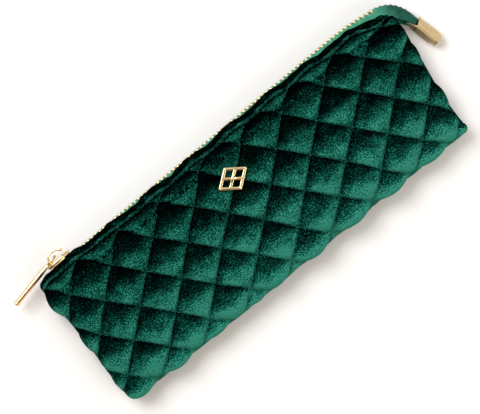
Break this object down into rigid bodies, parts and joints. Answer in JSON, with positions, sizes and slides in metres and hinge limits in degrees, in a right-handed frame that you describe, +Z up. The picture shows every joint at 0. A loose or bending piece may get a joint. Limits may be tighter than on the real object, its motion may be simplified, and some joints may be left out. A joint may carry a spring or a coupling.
{
  "type": "makeup bag",
  "caption": "Slim quilted velvet makeup bag that opens with a zip along one long edge, with a bar pull, a metal-clipped zip tail and an openwork ornament.",
  "frame": {"origin": "centre of the flat back, where the bag lies on the table", "axes": "+X along the zip towards its free tail, +Y towards the zip edge, +Z up out of the front panel"},
  "size_m": [0.2503, 0.0855, 0.0235],
  "materials": {
    "velvet": "short-pile velvet with strong sheen, quilted in diamonds",
    "wadding": "soft polyester wadding",
    "lining": "satin lining",
    "zip_tape": "woven tape with satin sheen",
    "thread": "twisted thread",
    "gold_metal": "polished pale gold",
    "washer_metal": "plain zinc"
  },
  "bodies": {
    "back_panel": {"back_velvet": "velvet", "back_wadding": "wadding", "back_lining": "lining", "back_topstitch": "thread", "zip_tape_back": "zip_tape", "zip_teeth_back": "gold_metal", "zip_top_stop_back": "gold_metal"},
    "front_panel": {"front_velvet": "velvet", "front_wadding": "wadding", "front_lining": "lining", "front_topstitch": "thread", "zip_tape_front": "zip_tape", "zip_teeth_front": "gold_metal", "zip_top_stop_front": "gold_metal", "ornament": "gold_metal", "ornament_washer": "washer_metal"},
    "slider": {"slider_body": "gold_metal", "slider_bail": "gold_metal"},
    "pull": {"pull_bar": "gold_metal"},
    "tail": {"zip_tail_tape": "zip_tape", "zip_tail_teeth": "gold_metal", "zip_bottom_stop": "gold_metal", "end_clip_cover": "gold_metal", "end_clip_plate": "gold_metal", "end_clip_screw": "gold_metal"}
  },
  "joints": [
    {"name": "slider_slide", "type": "slide", "parent": "back_panel", "child": "slider", "axis": [1, 0, 0], "range_m": [0, 0.172], "deforming": ["zip_tape_front", "zip_tape_back", "zip_teeth_front", "zip_teeth_back"]},
    {"name": "mouth_open", "type": "hinge", "parent": "back_panel", "child": "front_panel", "pos_m": [0, -0.0385, 0.0095], "axis": [1, 0, 0], "range_deg": [0, 22]},
    {"name": "pull_swing", "type": "hinge", "parent": "slider", "child": "pull", "pos_m": [-0.0918, 0.0439, 0.0095], "axis": [0, 0, -1], "range_deg": [0, 170]},
    {"name": "tail_bend", "type": "hinge", "parent": "back_panel", "child": "tail", "pos_m": [0.1132, 0.0316, 0.0095], "axis": [0, 0, 1], "range_deg": [-10, 70]}
  ],
  "couplings": [
    {"joint": "mouth_open", "follows": "slider_slide", "rad_per_m": 2.23}
  ]
}
